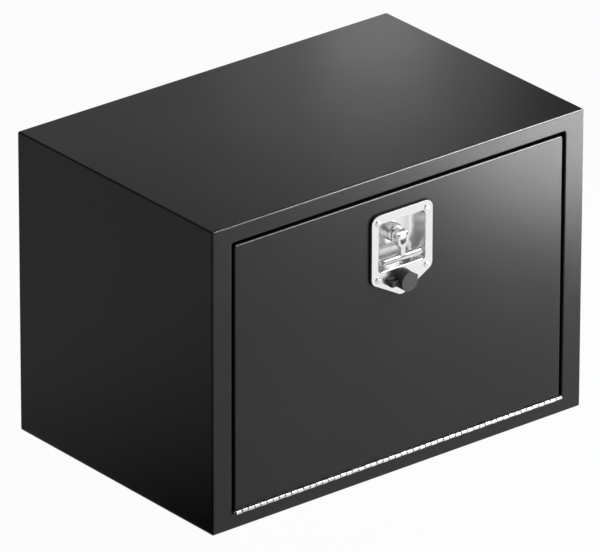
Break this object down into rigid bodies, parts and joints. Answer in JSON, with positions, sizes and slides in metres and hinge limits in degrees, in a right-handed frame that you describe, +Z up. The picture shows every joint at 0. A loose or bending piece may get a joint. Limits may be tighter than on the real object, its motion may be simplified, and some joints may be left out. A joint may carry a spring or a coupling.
{
  "type": "steel tool cabinet",
  "caption": "Steel tool cabinet with a drop-down door on a piano hinge, a recessed folding T-handle latch, a capped key lock and slotted door stays.",
  "frame": {"origin": "centre of the cabinet body's underside", "axes": "+X to the right as seen from the front, +Y to the back, +Z up"},
  "size_m": [0.6604, 0.4529, 0.4572],
  "materials": {
    "black_paint": "semi-gloss black powder coat with fine orange peel",
    "hinge_steel": "bright rolled stainless",
    "polished_stainless": "polished pressed stainless",
    "cast_bright": "bright plated casting",
    "zinc_steel": "zinc plated steel",
    "plug_brass": "turned brass",
    "black_rubber": "matt black rubber"
  },
  "bodies": {
    "cabinet": {"front_frame": "black_paint", "end_panel_left": "black_paint", "end_panel_right": "black_paint", "body_wrap": "black_paint", "door_seal": "black_rubber", "hinge_leaf_cabinet": "hinge_steel", "hinge_pin": "hinge_steel", "stay_bracket_left": "black_paint", "stay_bracket_right": "black_paint", "stay_studs": "zinc_steel"},
    "door": {"door_skin": "black_paint", "door_inner_panel": "black_paint", "hinge_leaf_door": "hinge_steel", "latch_gasket": "black_rubber", "latch_pan": "polished_stainless", "latch_rivets": "zinc_steel", "spindle_hub": "cast_bright", "spindle_hub_nut": "zinc_steel", "lock_housing": "zinc_steel", "lock_housing_nut": "zinc_steel", "cap_collar": "black_rubber", "cap_strap": "black_rubber", "door_stay_bracket_left": "black_paint", "door_stay_bracket_right": "black_paint", "door_stay_pins": "zinc_steel"},
    "spindle_body": {"spindle": "zinc_steel", "latch_pawl": "zinc_steel", "pawl_washer": "zinc_steel", "pawl_nut": "zinc_steel", "handle_pivot_pin": "zinc_steel"},
    "handle": {"t_handle": "cast_bright"},
    "key_plug": {"lock_plug": "plug_brass", "lock_cam": "zinc_steel", "cam_nut": "zinc_steel"},
    "cap": {"lock_cap": "black_rubber"},
    "stay_left": {"stay_arm_left": "zinc_steel"},
    "stay_right": {"stay_arm_right": "zinc_steel"}
  },
  "joints": [
    {"name": "door_swing", "type": "hinge", "parent": "cabinet", "child": "door", "pos_m": [0, -0.2189, 0.02535], "axis": [1, 0, 0], "range_deg": [0, 88]},
    {"name": "stay_left_swing", "type": "hinge", "parent": "door", "child": "stay_left", "pos_m": [-0.278, -0.1869, 0.17535], "axis": [1, 0, 0], "range_deg": [-44, 0]},
    {"name": "stay_right_swing", "type": "hinge", "parent": "door", "child": "stay_right", "pos_m": [0.278, -0.1869, 0.17535], "axis": [1, 0, 0], "range_deg": [-44, 0]},
    {"name": "spindle_turn", "type": "hinge", "parent": "door", "child": "spindle_body", "pos_m": [0, -0.2, 0.359], "axis": [0, -1, 0], "range_deg": [0, 90]},
    {"name": "handle_fold", "type": "hinge", "parent": "spindle_body", "child": "handle", "pos_m": [0, -0.2146, 0.359], "axis": [-1, 0, 0], "range_deg": [0, 90]},
    {"name": "key_plug_turn", "type": "hinge", "parent": "door", "child": "key_plug", "pos_m": [0, -0.2, 0.296], "axis": [0, -1, 0], "range_deg": [0, 90]},
    {"name": "cap_swing", "type": "hinge", "parent": "door", "child": "cap", "pos_m": [-0.0205, -0.2275, 0.296], "axis": [0, 0, -1], "range_deg": [0, 110], "deforming": ["cap_strap"]}
  ],
  "couplings": [
    {"joint": "stay_left_swing", "follows": "door_swing", "ratio": -0.5},
    {"joint": "stay_right_swing", "follows": "door_swing", "ratio": -0.5},
    {"joint": "handle_fold", "follows": "spindle_turn", "ratio": 1}
  ]
}
